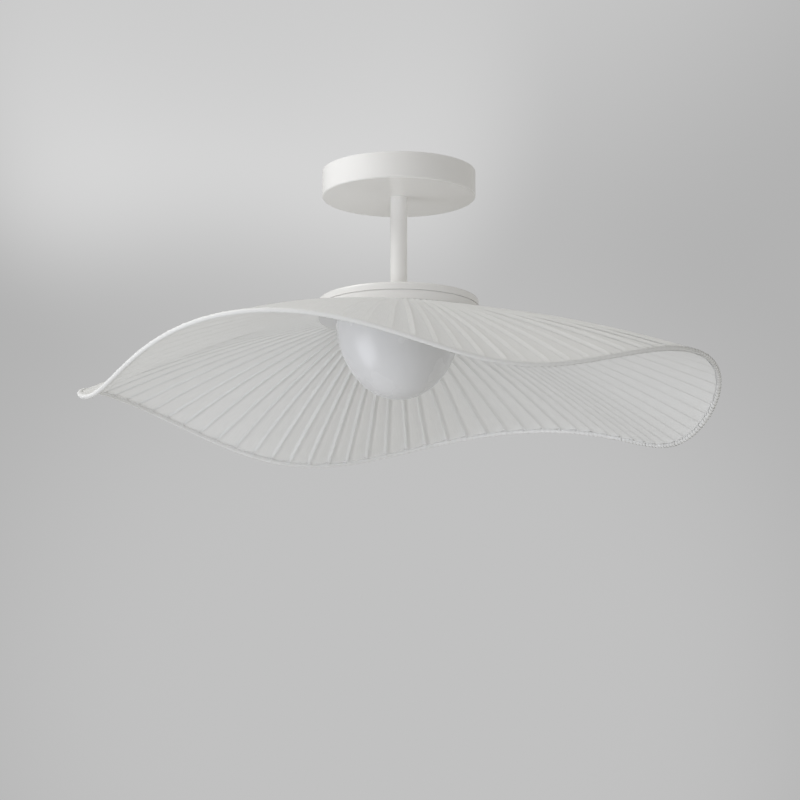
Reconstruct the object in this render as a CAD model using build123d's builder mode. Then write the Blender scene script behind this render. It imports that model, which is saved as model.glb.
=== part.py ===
from build123d import *
from math import cos, degrees, radians, sin, sqrt, tan
import os

# A semi-flush ceiling light with a pleated fabric shade. Millimetres, +Z up.
# The ceiling is the plane Z = 0, the origin is in it on the axis of the rod.

os.makedirs("parts", exist_ok=True)

# Clearances
slip = 0.1  # between pieces that are pushed together by hand
thread_play = 0.05  # radial, between a thread's two sides
dome_gap = 0.3  # between the dome, which comes off, and what stays
cloth_play = 0.3  # between the cloth's edge and the rim wire

# Canopy on the ceiling
canopy_diameter = 146.0
canopy_height = 25.0
canopy_wall = 1.2
canopy_edge_radius = 1.6
ceiling_gap = 0.5

# Ceiling bracket
bracket_width = 20.0
bracket_thickness = 1.5
bracket_bend_radius = 1.5
ear_height = 18.0
slot_spacing = 84.0
slot_length = 16.0
slot_width = 5.0
cable_hole_diameter = 12.0
ear_screw_depth = 12.5
earth_screw_offset = 24.0
earth_collar_diameter = 7.0
earth_collar_height = 2.5
earth_washer_thickness = 1.0
earth_washer_margin = 1.0  # past the screw's head, all round
earth_lug_thickness = 0.8
earth_lug_diameter = 8.0
earth_barrel_diameter = 3.4
earth_barrel_length = 6.0
grub_length = 8.0

# Rod and its hollow threaded nipples
rod_diameter = 16.0
rod_wall = 1.5
rod_length = 100.0
plug_length = 14.0
nipple_diameter = 10.0
nipple_bore = 7.5
nipple_in_rod = 11.0
nipple_past_nut = 2.0
nut_across_flats = 14.0
nut_height = 3.5
washer_diameter = 18.0
washer_thickness = 1.0
bush_bore = 5.4
bush_flange = 1.0
bush_depth = 6.0

# Pan above the shade
pan_diameter = 151.0
pan_wall = 1.2
lid_height = 7.0
lid_edge_radius = 2.0
groove_height = 1.0
band_height = 8.1
hem_width = 4.0
plate_thickness = 1.5
plate_screw_length = 8.0
standoffs_in_pan = 3
standoff_angle = 90.0
standoff_setback = 4.8  # from the dome's lip inwards
standoff_across_flats = 8.0
standoff_tap = 10.0

# Lamp board
board_diameter = 70.0
board_thickness = 1.6
board_hole_diameter = 10.0
board_screw_circle = 62.0
board_screw_angle = 90.0
board_screw_length = 5.0
board_fixings = 3
chip_rings = ((36.0, 6), (50.0, 12))  # the diameter and the number of chips of each ring
chip_length = 3.5
chip_width = 2.8
chip_height = 0.7
connector_length = 9.0
connector_width = 7.0
connector_height = 3.6
connector_corner_radius = 0.6
connector_offset = 11.5

# Driver, terminal block and leads
driver_length = 62.0
driver_width = 32.0
driver_height = 16.0
driver_corner_radius = 3.0
driver_edge_radius = 1.0
driver_offset = 32.0
block_length = 34.0
block_width = 18.0
block_height = 14.0
block_foot = 5.0
block_offset = 34.0
poles = 3
pole_pitch = 10.0
barrel_width = 8.0
barrel_corner_radius = 1.0
well_radius = 2.4
wire_hole_radius = 1.7
terminal_screw_height = 3.0
pad_thickness = 1.0
pad_margin = 3.0
lead_diameter = 1.8
lead_gap = 0.4
lead_rise = 4.8  # from the upper bush to the leads' level in the canopy
lead_socket = 3.0
lead_bend_share = 0.45  # of the shorter run at a bend
input_hole = 30.0  # the first input lead's hole in the driver's end, behind the rod
input_side = 37.0  # how far to the right it runs
input_front = 16.5  # how far to the front it runs, before it turns to the block
input_step = 3.0  # from the first input lead to the second, in each of these
earth_front = 17.0  # how far to the front the earth lead runs

# Dome and its springs
dome_diameter = 118.0
dome_depth = 76.0
dome_wall = 2.0
lip_width = 2.2
lip_height = 2.0
springs = 3
spring_angle = 30.0
spring_thickness = 0.5
spring_width = 8.0
spring_foot = 7.5
spring_drop = 8.5
spring_play = 1.0  # from the spring's neck to the dome's lip
spring_bulge = 1.0
spring_tip_setback = 1.0
spring_bend_radius = 0.7
spring_screw_length = 4.0

# Screws: thread diameter, head diameter, head height
m3 = (3.0, 5.5, 2.0)
m4 = (4.0, 7.6, 2.6)

# Shade
pleats = 90
waves = 4
wave_height = 20.0  # half of the rim's rise and fall
wave_sharpness = 1.0  # how much flatter the crests are than the troughs
wave_angle = 20.3  # direction of the first trough
rim_drop = 77.0  # from the clamped edge down to the rim's middle height
rim_lean = 6.5  # the rim hangs out of level, this much up on one side and down on the other
lean_angle = 150.0  # direction of the high side
pleat_length = 235.5  # straight from the pan's edge to the rim, the same for each pleat
crown = 5.5  # how far the cloth arches over that straight line
cloth_thickness = 0.6
pleat_relief = 1.6
relief_start = 9.0  # length in which the pleats rise from the clamp
pleat_steps = (0.35, 0.7)  # shares of a pleat's length at which its arch is bent
tuck_width = 3.6
rim_relief = 0.9
inner_ring_width = 4.6
inner_ring_setback = 1.0
inner_ring_thickness = 0.6
rim_wire_diameter = 3.0
rim_wire_sides = 8
binding_thickness = 0.6

# Heights and radii that follow from them
canopy_radius = canopy_diameter / 2
canopy_inner = canopy_radius - canopy_wall
canopy_bottom = -ceiling_gap - canopy_height
canopy_floor = canopy_bottom + canopy_wall
rod_radius = rod_diameter / 2
nipple_radius = nipple_diameter / 2
nipple_hole = nipple_radius + slip
nipple_reach = washer_thickness + nut_height + nipple_past_nut
lead_spacing = lead_diameter + lead_gap
lead_level = canopy_floor + nipple_reach + bush_flange + lead_rise
pan_top = canopy_bottom - rod_length
pan_radius = pan_diameter / 2
web_top = pan_top - pan_wall
web_bottom = web_top - pan_wall
band_top = pan_top - lid_height - groove_height
band_bottom = band_top - band_height
clamp_gap = cloth_thickness + inner_ring_thickness
plate_top = band_bottom - clamp_gap
plate_bottom = plate_top - plate_thickness
board_bottom = plate_bottom - board_thickness
dome_radius = dome_diameter / 2
lip_radius = dome_radius - dome_wall - lip_width
spring_neck = lip_radius - spring_play
spring_start = spring_neck - spring_foot
spring_screw_radius = spring_start + spring_foot / 2
standoff_radius = lip_radius - standoff_setback
board_screw_radius = board_screw_circle / 2


def save(piece, name):
    """Labels a finished piece and writes it."""
    piece.part.label = name
    export_step(piece.part, f"parts/{name}.step")


def pan_head_screw(size, length):
    """A screw whose head hangs under Z = 0 and whose thread stands on it, with a cross recess."""
    thread, head, head_height = size
    recess_length = head / 2
    recess_width = thread / 5
    recess_depth = head_height / 2
    with BuildPart() as screw:
        with BuildSketch():
            Circle(thread / 2)
        extrude(amount=length)
        with BuildSketch():
            Circle(head / 2)
        extrude(amount=-head_height)
        fillet(screw.edges().group_by(Axis.Z)[0], head_height / 2)
        with BuildSketch(Plane.XY.offset(-head_height)):
            Rectangle(recess_length, recess_width)
            Rectangle(recess_width, recess_length)
        extrude(amount=recess_depth, mode=Mode.SUBTRACT)
    return screw.part


def screw_hole(size):
    """The radius of a hole that a screw of this size turns in."""
    return size[0] / 2 + thread_play


def bend_radii(points):
    """The radius of each bend on a lead, as wide as the shorter of its two runs allows."""
    radii = []
    for before, corner, after in zip(points, points[1:], points[2:]):
        arriving = corner - before
        leaving = after - corner
        shorter = min(arriving.length, leaving.length)
        half_turn = radians(arriving.get_angle(leaving)) / 2
        radii.append(lead_bend_share * shorter / tan(half_turn))
    return radii


def lead_along(points, radii):
    """One lead: straight runs between the points, joined by bends."""
    with BuildPart() as lead:
        with BuildLine() as route:
            FilletPolyline(*points, radius=radii)
        with BuildSketch(Plane(origin=route.line @ 0, z_dir=route.line % 0)):
            Circle(lead_diameter / 2)
        sweep(path=route.line)
    return lead.part


# Ceiling bracket: a steel strip with its ends bent down into ears inside the canopy wall
ear_outside = sqrt(canopy_inner**2 - (bracket_width / 2) ** 2) - slip
with BuildPart() as ceiling_bracket:
    with BuildSketch(Plane.XZ):
        with BuildLine():
            FilletPolyline(
                (-ear_outside, -ear_height),
                (-ear_outside, 0),
                (ear_outside, 0),
                (ear_outside, -ear_height),
                radius=bracket_bend_radius + bracket_thickness,
            )
            offset(amount=-bracket_thickness, side=Side.RIGHT)
        make_face()
    extrude(amount=bracket_width / 2, both=True)
    with BuildSketch():
        with GridLocations(slot_spacing, 0, 2, 1):
            SlotOverall(slot_length, slot_width)
        Circle(cable_hole_diameter / 2)
    extrude(amount=-bracket_thickness, mode=Mode.SUBTRACT)
    with BuildSketch(Plane.XY.offset(-bracket_thickness)):
        with Locations((-earth_screw_offset, 0)):
            Circle(earth_collar_diameter / 2)
    extrude(amount=-earth_collar_height)
    with BuildSketch():
        with Locations((-earth_screw_offset, 0)):
            Circle(screw_hole(m4))
    extrude(amount=-bracket_thickness - earth_collar_height, mode=Mode.SUBTRACT)
    with BuildSketch(Plane.YZ):
        with Locations((0, -ear_screw_depth)):
            Circle(screw_hole(m4))
    extrude(amount=canopy_radius, both=True, mode=Mode.SUBTRACT)
save(ceiling_bracket, "ceiling_bracket")

# Canopy: a deep-drawn cup, open to the ceiling
with BuildPart() as canopy_cup:
    with BuildSketch(Plane.XY.offset(-ceiling_gap)):
        Circle(canopy_radius)
    extrude(amount=-canopy_height)
    fillet(canopy_cup.edges().group_by(Axis.Z)[0], canopy_edge_radius)
    offset(amount=-canopy_wall, openings=canopy_cup.faces().sort_by(Axis.Z)[-1])
    with BuildSketch(Plane.XY.offset(canopy_bottom)):
        Circle(nipple_hole)
    extrude(amount=canopy_wall, mode=Mode.SUBTRACT)
    with BuildSketch(Plane.YZ):
        with Locations((0, -ear_screw_depth)):
            Circle(m4[0] / 2 + slip)
    extrude(amount=canopy_radius, both=True, mode=Mode.SUBTRACT)
save(canopy_cup, "canopy_cup")

# Grub screws: flush with the canopy wall, screwed into the ears
hexagon_radius = m4[0] / 4
with BuildPart() as grub_screw:
    with BuildSketch(Plane.YZ.offset(canopy_radius - slip)):
        with Locations((0, -ear_screw_depth)):
            Circle(m4[0] / 2)
    extrude(amount=-grub_length)
    with BuildSketch(Plane.YZ.offset(canopy_radius - slip)):
        with Locations((0, -ear_screw_depth)):
            RegularPolygon(hexagon_radius, 6, major_radius=False)
    extrude(amount=-grub_length / 4, mode=Mode.SUBTRACT)
with BuildPart() as canopy_screws:
    with PolarLocations(0, 2):
        add(grub_screw.part)
save(canopy_screws, "canopy_screws")

# Earth point: a crimped ring lug and a washer, screwed under the bracket's tapped collar
earth_seat = -bracket_thickness - earth_collar_height
lug_bottom = earth_seat - earth_lug_thickness
earth_head = lug_bottom - earth_washer_thickness
earth_washer_radius = m4[1] / 2 + earth_washer_margin
barrel_start = earth_washer_radius + earth_washer_margin
barrel_end = barrel_start + earth_barrel_length
earth_wire_level = earth_seat - earth_barrel_diameter / 2
with BuildPart() as earth_lug:
    with BuildSketch(Plane.XY.offset(earth_seat)):
        with Locations((-earth_screw_offset, -barrel_start / 2)):
            Rectangle(earth_barrel_diameter, barrel_start)
        with Locations((-earth_screw_offset, 0)):
            Circle(earth_lug_diameter / 2)
            Circle(m4[0] / 2 + slip, mode=Mode.SUBTRACT)
    extrude(amount=-earth_lug_thickness)
    with BuildSketch(Plane.XZ.offset(barrel_start)):
        with Locations((-earth_screw_offset, earth_wire_level)):
            Circle(earth_barrel_diameter / 2)
            Circle(lead_diameter / 2 + thread_play, mode=Mode.SUBTRACT)
    extrude(amount=earth_barrel_length)
save(earth_lug, "earth_lug")

with BuildPart() as earth_washer:
    with BuildSketch(Plane.XY.offset(lug_bottom)):
        with Locations((-earth_screw_offset, 0)):
            Circle(earth_washer_radius)
            Circle(m4[0] / 2 + slip, mode=Mode.SUBTRACT)
    extrude(amount=-earth_washer_thickness)
save(earth_washer, "earth_washer")

with BuildPart() as earth_screw:
    with Locations((-earth_screw_offset, 0, earth_head)):
        add(pan_head_screw(m4, -earth_head - bracket_thickness / 2))
save(earth_screw, "earth_screw")

# Foam pads: under the driver and under the terminal block
with BuildPart() as foam_pads:
    with BuildSketch(Plane.XY.offset(canopy_floor)):
        with Locations((0, driver_offset)):
            Rectangle(driver_length - 2 * pad_margin, driver_width - 2 * pad_margin)
        with Locations((0, -block_offset)):
            Rectangle(block_length - pad_margin, block_width - pad_margin)
    extrude(amount=pad_thickness)
save(foam_pads, "foam_pads")

# Driver: a flat moulded case with two lead holes towards the rod and two in its right end
pad_top = canopy_floor + pad_thickness
wire_level = pad_top + block_height / 3
input_starts = (input_hole, input_hole + input_step)
driver_face = driver_offset - driver_width / 2
with BuildPart() as led_driver:
    with BuildSketch(Plane.XY.offset(pad_top)):
        with Locations((0, driver_offset)):
            RectangleRounded(driver_length, driver_width, driver_corner_radius)
    extrude(amount=driver_height)
    fillet(led_driver.edges().group_by(Axis.Z)[-1], driver_edge_radius)
    with BuildSketch(Plane.XZ.offset(-driver_face)):
        with Locations((0, lead_level)):
            with GridLocations(lead_spacing, 0, 2, 1):
                Circle(lead_diameter / 2 + thread_play)
    extrude(amount=-lead_socket, mode=Mode.SUBTRACT)
    with BuildSketch(Plane.YZ.offset(driver_length / 2)):
        with Locations(*[(start, wire_level) for start in input_starts]):
            Circle(lead_diameter / 2 + thread_play)
    extrude(amount=-lead_socket, mode=Mode.SUBTRACT)
save(led_driver, "led_driver")

# Terminal block: three poles, each a barrel with a wire hole through it and two screw wells
well_offset = block_width / 4
with BuildPart() as terminal_block:
    with BuildSketch(Plane.XY.offset(pad_top)):
        with Locations((0, -block_offset)):
            Rectangle(block_length, block_width)
    extrude(amount=block_foot)
    with BuildSketch(Plane.XY.offset(pad_top)):
        with Locations((0, -block_offset)):
            with GridLocations(pole_pitch, 0, poles, 1):
                RectangleRounded(barrel_width, block_width, barrel_corner_radius)
    extrude(amount=block_height)
    with BuildSketch(Plane.XY.offset(pad_top + block_height)):
        with Locations((0, -block_offset)):
            with GridLocations(pole_pitch, 2 * well_offset, poles, 2):
                Circle(well_radius)
    extrude(amount=-block_height / 2, mode=Mode.SUBTRACT)
    with BuildSketch(Plane.XZ.offset(block_offset)):
        with Locations((0, wire_level)):
            with GridLocations(pole_pitch, 0, poles, 1):
                Circle(wire_hole_radius)
    extrude(amount=block_width / 2, both=True, mode=Mode.SUBTRACT)
save(terminal_block, "terminal_block")

# Terminal screws: slotted, one in each well
with BuildPart() as terminal_screws:
    with BuildSketch(Plane.XY.offset(pad_top + block_height / 2)):
        with Locations((0, -block_offset)):
            with GridLocations(pole_pitch, 2 * well_offset, poles, 2):
                Circle(well_radius - slip)
    extrude(amount=terminal_screw_height)
    with BuildSketch(Plane.XY.offset(pad_top + block_height / 2 + terminal_screw_height)):
        with Locations((0, -block_offset)):
            with GridLocations(pole_pitch, 2 * well_offset, poles, 2):
                Rectangle(2 * well_radius, well_radius / 3)
    extrude(amount=-terminal_screw_height / 3, mode=Mode.SUBTRACT)
save(terminal_screws, "terminal_screws")

# Input leads: from the driver's right end around the rod to two poles of the terminal block
block_entry = -block_offset + block_width / 2 - lead_socket
with BuildPart() as input_leads:
    for n, start in enumerate(input_starts):
        side = input_side + n * input_step
        front = -input_front - n * input_step
        turns = [
            Vector(driver_length / 2 - lead_socket, start, wire_level),
            Vector(side, start, wire_level),
            Vector(side, front, wire_level),
            Vector(n * pole_pitch, front, wire_level),
            Vector(n * pole_pitch, block_entry, wire_level),
        ]
        add(lead_along(turns, bend_radii(turns)))
save(input_leads, "input_leads")

# Earth lead: from the lug's barrel down to the third pole
with BuildPart() as earth_lead:
    turns = [
        Vector(-earth_screw_offset, lead_socket - barrel_end, earth_wire_level),
        Vector(-earth_screw_offset, -earth_front, earth_wire_level),
        Vector(-pole_pitch, -earth_front, wire_level),
        Vector(-pole_pitch, block_entry, wire_level),
    ]
    add(lead_along(turns, bend_radii(turns)))
save(earth_lead, "earth_lead")

# Rod: a steel tube, with a tapped plug brazed into each end
with BuildPart() as rod_tube:
    with BuildSketch(Plane.XY.offset(canopy_bottom)):
        Circle(rod_radius)
        Circle(rod_radius - rod_wall, mode=Mode.SUBTRACT)
    extrude(amount=-rod_length)
save(rod_tube, "rod_tube")

with BuildPart() as rod_plugs:
    for end, way in ((canopy_bottom, -1), (pan_top, 1)):
        with BuildSketch(Plane.XY.offset(end)):
            Circle(rod_radius - rod_wall)
            Circle(nipple_radius + thread_play, mode=Mode.SUBTRACT)
        extrude(amount=way * plug_length)
save(rod_plugs, "rod_plugs")

# Nipple stacks: seat is the sheet that the washer lies on, way points from the rod to the nut
stacks = ((canopy_bottom, canopy_floor, 1), (pan_top, web_bottom, -1))
with BuildPart() as nipple_washers:
    for _, seat, way in stacks:
        with BuildSketch(Plane.XY.offset(seat)):
            Circle(washer_diameter / 2)
            Circle(nipple_hole, mode=Mode.SUBTRACT)
        extrude(amount=way * washer_thickness)
save(nipple_washers, "nipple_washers")

with BuildPart() as nipple_nuts:
    for _, seat, way in stacks:
        with BuildSketch(Plane.XY.offset(seat + way * washer_thickness)):
            RegularPolygon(nut_across_flats / 2, 6, major_radius=False)
            Circle(nipple_radius + thread_play, mode=Mode.SUBTRACT)
        extrude(amount=way * nut_height)
save(nipple_nuts, "nipple_nuts")

with BuildPart() as nipples:
    for rod_end, seat, way in stacks:
        with BuildSketch(Plane.XY.offset(rod_end - way * nipple_in_rod)):
            Circle(nipple_radius)
            Circle(nipple_bore / 2, mode=Mode.SUBTRACT)
        extrude(amount=seat + way * nipple_reach - rod_end + way * nipple_in_rod)
save(nipples, "nipples")

with BuildPart() as nipple_bushes:
    for _, seat, way in stacks:
        mouth = seat + way * nipple_reach
        with BuildSketch(Plane.XY.offset(mouth)):
            Circle(nipple_radius)
            Circle(bush_bore / 2, mode=Mode.SUBTRACT)
        extrude(amount=way * bush_flange)
        with BuildSketch(Plane.XY.offset(mouth)):
            Circle(nipple_bore / 2 - thread_play)
            Circle(bush_bore / 2, mode=Mode.SUBTRACT)
        extrude(amount=-way * bush_depth)
save(nipple_bushes, "nipple_bushes")

# Pan lid: a shallow pressed cup over the body, with a rounded edge
with BuildPart() as pan_lid:
    with BuildSketch(Plane.XY.offset(pan_top)):
        Circle(pan_radius)
    extrude(amount=-lid_height)
    fillet(pan_lid.edges().group_by(Axis.Z)[-1], lid_edge_radius)
    offset(amount=-pan_wall, openings=pan_lid.faces().sort_by(Axis.Z)[0])
    with BuildSketch(Plane.XY.offset(pan_top)):
        Circle(nipple_hole)
    extrude(amount=-pan_wall, mode=Mode.SUBTRACT)
save(pan_lid, "pan_lid")

# Pan body: spun sheet, a neck inside the lid, a band flush with it and a hem turned in below
neck_radius = pan_radius - pan_wall - 2 * slip
with BuildPart() as pan_body:
    with BuildSketch(Plane.XZ):
        with BuildLine():
            Polyline(
                (nipple_hole, web_top),
                (neck_radius, web_top),
                (neck_radius, band_top),
                (pan_radius, band_top),
                (pan_radius, band_bottom),
                (pan_radius - hem_width, band_bottom),
                (pan_radius - hem_width, band_bottom + pan_wall),
                (pan_radius - pan_wall, band_bottom + pan_wall),
                (pan_radius - pan_wall, band_top - pan_wall),
                (neck_radius - pan_wall, band_top - pan_wall),
                (neck_radius - pan_wall, web_bottom),
                (nipple_hole, web_bottom),
                close=True,
            )
        make_face()
    revolve(axis=Axis.Z)
    top_edges = pan_body.edges().filter_by(GeomType.CIRCLE).group_by(Axis.Z)[-1]
    fillet(top_edges.sort_by(SortBy.RADIUS)[-1], lid_edge_radius - pan_wall + 2 * slip)
save(pan_body, "pan_body")

# Standoffs: tapped hexagon posts riveted to the pan's web
with BuildPart() as standoffs:
    with BuildSketch(Plane.XY.offset(web_bottom)):
        with PolarLocations(standoff_radius, standoffs_in_pan, start_angle=standoff_angle):
            RegularPolygon(standoff_across_flats / 2, 6, major_radius=False)
    extrude(amount=plate_top - web_bottom)
    with BuildSketch(Plane.XY.offset(plate_top)):
        with PolarLocations(standoff_radius, standoffs_in_pan, start_angle=standoff_angle):
            Circle(screw_hole(m4))
    extrude(amount=standoff_tap, mode=Mode.SUBTRACT)
save(standoffs, "standoffs")

# Clamp plate: holds the shade's inner ring, the lamp board and the dome's springs
with BuildPart() as clamp_plate:
    with BuildSketch(Plane.XY.offset(plate_top)):
        Circle(pan_radius)
        Circle(board_hole_diameter / 2, mode=Mode.SUBTRACT)
        with PolarLocations(standoff_radius, standoffs_in_pan, start_angle=standoff_angle):
            Circle(m4[0] / 2 + slip, mode=Mode.SUBTRACT)
        with PolarLocations(board_screw_radius, board_fixings, start_angle=board_screw_angle):
            Circle(screw_hole(m3), mode=Mode.SUBTRACT)
        with PolarLocations(spring_screw_radius, springs, start_angle=spring_angle):
            Circle(screw_hole(m3), mode=Mode.SUBTRACT)
    extrude(amount=-plate_thickness)
save(clamp_plate, "clamp_plate")

with BuildPart() as plate_screws:
    with Locations((0, 0, plate_bottom)):
        with PolarLocations(standoff_radius, standoffs_in_pan, start_angle=standoff_angle):
            add(pan_head_screw(m4, plate_screw_length))
save(plate_screws, "plate_screws")

# Lamp board: an aluminium disc with two rings of chips and a connector
with BuildPart() as led_board:
    with BuildSketch(Plane.XY.offset(plate_bottom)):
        Circle(board_diameter / 2)
        Circle(board_hole_diameter / 2, mode=Mode.SUBTRACT)
        with PolarLocations(board_screw_radius, board_fixings, start_angle=board_screw_angle):
            Circle(m3[0] / 2 + slip, mode=Mode.SUBTRACT)
    extrude(amount=-board_thickness)
save(led_board, "led_board")

with BuildPart() as led_chips:
    with BuildSketch(Plane.XY.offset(board_bottom)):
        for ring_diameter, count in chip_rings:
            with PolarLocations(ring_diameter / 2, count, start_angle=180 / count):
                Rectangle(chip_length, chip_width)
    extrude(amount=-chip_height)
save(led_chips, "led_chips")

with BuildPart() as board_screws:
    with Locations((0, 0, board_bottom)):
        with PolarLocations(board_screw_radius, board_fixings, start_angle=board_screw_angle):
            add(pan_head_screw(m3, board_screw_length))
save(board_screws, "board_screws")

lead_floor = board_bottom - connector_height / 2
connector_face = -connector_offset + connector_width / 2
with BuildPart() as board_connector:
    with BuildSketch(Plane.XY.offset(board_bottom)):
        with Locations((0, -connector_offset)):
            RectangleRounded(connector_length, connector_width, connector_corner_radius)
    extrude(amount=-connector_height)
    with BuildSketch(Plane.XZ.offset(-connector_face)):
        with Locations((0, lead_floor)):
            with GridLocations(lead_spacing, 0, 2, 1):
                Circle(lead_diameter / 2 + thread_play)
    extrude(amount=lead_socket, mode=Mode.SUBTRACT)
save(board_connector, "board_connector")

# Output leads: from the driver over the upper bush, down the rod and out to the connector
upper_bend = lead_bend_share * driver_face
lower_bend = lead_bend_share * -connector_face
with BuildPart() as output_leads:
    for side in (-lead_spacing / 2, lead_spacing / 2):
        turns = [
            Vector(side, driver_face + lead_socket, lead_level),
            Vector(side, 0, lead_level),
            Vector(side, 0, lead_floor),
            Vector(side, connector_face - lead_socket, lead_floor),
        ]
        add(lead_along(turns, (upper_bend, lower_bend)))
save(output_leads, "output_leads")

# Dome: half an ellipsoid, blown in opal plastic, with a lip inside its mouth
mouth_level = plate_bottom - dome_gap
mouth_inner = dome_radius - dome_wall
roundness = 0.5523  # where a curve's handles stand to make a quarter of an ellipse


def quarter_ellipse(radius, depth):
    """A curve from the dome's mouth down to its lowest point."""
    return Bezier(
        (radius, mouth_level),
        (radius, mouth_level - roundness * depth),
        (roundness * radius, mouth_level - depth),
        (0, mouth_level - depth),
    )


with BuildPart() as dome:
    with BuildSketch(Plane.XZ):
        with BuildLine():
            outside = quarter_ellipse(dome_radius, dome_depth)
            inside = quarter_ellipse(mouth_inner, dome_depth - dome_wall)
            Line(outside @ 0, inside @ 0)
            Line(outside @ 1, inside @ 1)
        make_face()
    revolve(axis=Axis.Z)
    with BuildSketch(Plane.XZ):
        with BuildLine():
            Polyline(
                (mouth_inner + dome_wall / 2, mouth_level),
                (lip_radius + lip_height / 2, mouth_level),
                (lip_radius, mouth_level - lip_height / 2),
                (lip_radius, mouth_level - lip_height),
                (mouth_inner + dome_wall / 2, mouth_level - lip_height - lip_width),
                close=True,
            )
        make_face()
    revolve(axis=Axis.Z)
save(dome, "dome")

# Dome springs: bent strips, screwed under the plate, whose bulge sits below the dome's lip
with BuildPart() as leaf_spring:
    with BuildSketch(Plane.XZ):
        with BuildLine():
            FilletPolyline(
                (spring_start, plate_bottom - spring_thickness / 2),
                (spring_neck, plate_bottom - spring_thickness / 2),
                (spring_neck, mouth_level - lip_height - dome_gap),
                (lip_radius + spring_bulge, mouth_level - lip_height - lip_width),
                (spring_neck - spring_tip_setback, plate_bottom - spring_drop),
                radius=spring_bend_radius,
            )
        trace(line_width=spring_thickness)
    extrude(amount=spring_width / 2, both=True)
    with BuildSketch(Plane.XY.offset(plate_bottom)):
        with Locations((spring_screw_radius, 0)):
            Circle(m3[0] / 2 + slip)
    extrude(amount=-spring_thickness, mode=Mode.SUBTRACT)
with BuildPart() as dome_springs:
    with PolarLocations(0, springs, start_angle=spring_angle):
        add(leaf_spring.part)
save(dome_springs, "dome_springs")

with BuildPart() as spring_screws:
    with Locations((0, 0, plate_bottom - spring_thickness)):
        with PolarLocations(spring_screw_radius, springs, start_angle=spring_angle):
            add(pan_head_screw(m3, spring_screw_length))
save(spring_screws, "spring_screws")

# Shade: each pleat is a straight strip of one length, from the pan's edge to the wavy rim
ring_inner = pan_radius - inner_ring_setback - inner_ring_width
cloth_level = band_bottom


def rim_height(angle):
    """The rim wire's height: four waves, slightly out of level."""
    turn = waves * radians(angle - wave_angle)
    wave = -wave_height * cos(turn) - wave_sharpness * cos(2 * turn)
    lean = rim_lean * cos(radians(angle - lean_angle))
    return cloth_level - rim_drop + wave + lean


def rim_point(angle):
    """The rim wire's radius and height: where the rim rises, the same pleat reaches further out."""
    height = rim_height(angle)
    return pan_radius + sqrt(pleat_length**2 - (height - cloth_level) ** 2), height


def along_pleat(angle, share):
    """Radius and height on a pleat's line, share 0 at the pan's edge and 1 at the rim wire."""
    radius, height = rim_point(angle)
    arch = 4 * crown * share * (1 - share)
    return (
        pan_radius + (radius - pan_radius) * share,
        cloth_level + (height - cloth_level) * share + arch,
    )


def at(angle, radius, height):
    """A point by its direction, radius and height."""
    return Vector(radius * cos(radians(angle)), radius * sin(radians(angle)), height)


def closed_band(sections):
    """A closed ring through equal sections, each a list of points, made of flat triangles."""
    faces = []
    for here, there in zip(sections, sections[1:] + sections[:1]):
        for a, b, c, d in zip(here, here[1:] + here[:1], there, there[1:] + there[:1]):
            faces.append(Face(Wire.make_polygon([a, b, d])))
            faces.append(Face(Wire.make_polygon([a, d, c])))
    return Solid(Shell(faces))


# Inner ring: a flat steel ring that the cloth's hem is glued to
with BuildPart() as shade_inner_ring:
    with BuildSketch(Plane.XY.offset(plate_top)):
        Circle(ring_inner + inner_ring_width)
        Circle(ring_inner, mode=Mode.SUBTRACT)
    extrude(amount=inner_ring_thickness)
save(shade_inner_ring, "shade_inner_ring")

# Cloth: knife pleats, each a narrow tuck that climbs to a crest and a broad panel that falls away
edge_share = 1 - (rim_wire_diameter / 2 + cloth_play) / pleat_length
full_relief_share = relief_start / pleat_length
full_relief = (full_relief_share, *pleat_steps, 1 - full_relief_share)
stations = ((0, 0), *((share, pleat_relief) for share in full_relief), (edge_share, rim_relief))


def tuck_turn(radius):
    """The angle that a tuck's width takes at a radius."""
    return degrees(tuck_width / radius)


def cloth_section(angle, is_crest):
    """The cloth's section along one fold, from the clamped hem to the rim and back below."""
    turn = tuck_turn(ring_inner) if is_crest else 0
    upper = [at(angle + turn, ring_inner, cloth_level)]
    for share, relief in stations:
        turn = tuck_turn(along_pleat(angle, share)[0]) if is_crest else 0
        radius, height = along_pleat(angle + turn, share)
        upper.append(at(angle + turn, radius, height + (relief if is_crest else 0)))
    lower = [point - Vector(0, 0, cloth_thickness) for point in reversed(upper)]
    return upper + lower


pleat_turn = 360 / pleats
with BuildPart() as shade_fabric:
    folds = []
    for n in range(pleats):
        folds.append(cloth_section(n * pleat_turn, False))
        folds.append(cloth_section(n * pleat_turn, True))
    add(closed_band(folds))
save(shade_fabric, "shade_fabric")

# Rim wire: a closed steel wire bent into the waves
corner = 360 // rim_wire_sides


def around_wire(angle, radius, turns):
    """Points around the rim wire, turned from the direction that faces the pan."""
    wire_radius, wire_height = rim_point(angle)
    points = []
    for turn in turns:
        away = radius * cos(radians(turn))
        points.append(at(angle, wire_radius - away, wire_height + radius * sin(radians(turn))))
    return points


with BuildPart() as shade_rim_wire:
    rounds = [
        around_wire(n * pleat_turn, rim_wire_diameter / 2, range(0, 360, corner))
        for n in range(pleats)
    ]
    add(closed_band(rounds))
save(shade_rim_wire, "shade_rim_wire")

# Rim binding: tape folded over the wire, open to the cloth that it grips
with BuildPart() as rim_binding:
    tape = []
    tape_inner = rim_wire_diameter / 2 + slip
    open_turns = list(range(corner, 360, corner))
    for n in range(pleats):
        outside = around_wire(n * pleat_turn, tape_inner + binding_thickness, open_turns)
        inside = around_wire(n * pleat_turn, tape_inner, open_turns[::-1])
        tape.append(outside + inside)
    add(closed_band(tape))
save(rim_binding, "rim_binding")
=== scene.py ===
import math

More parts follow.
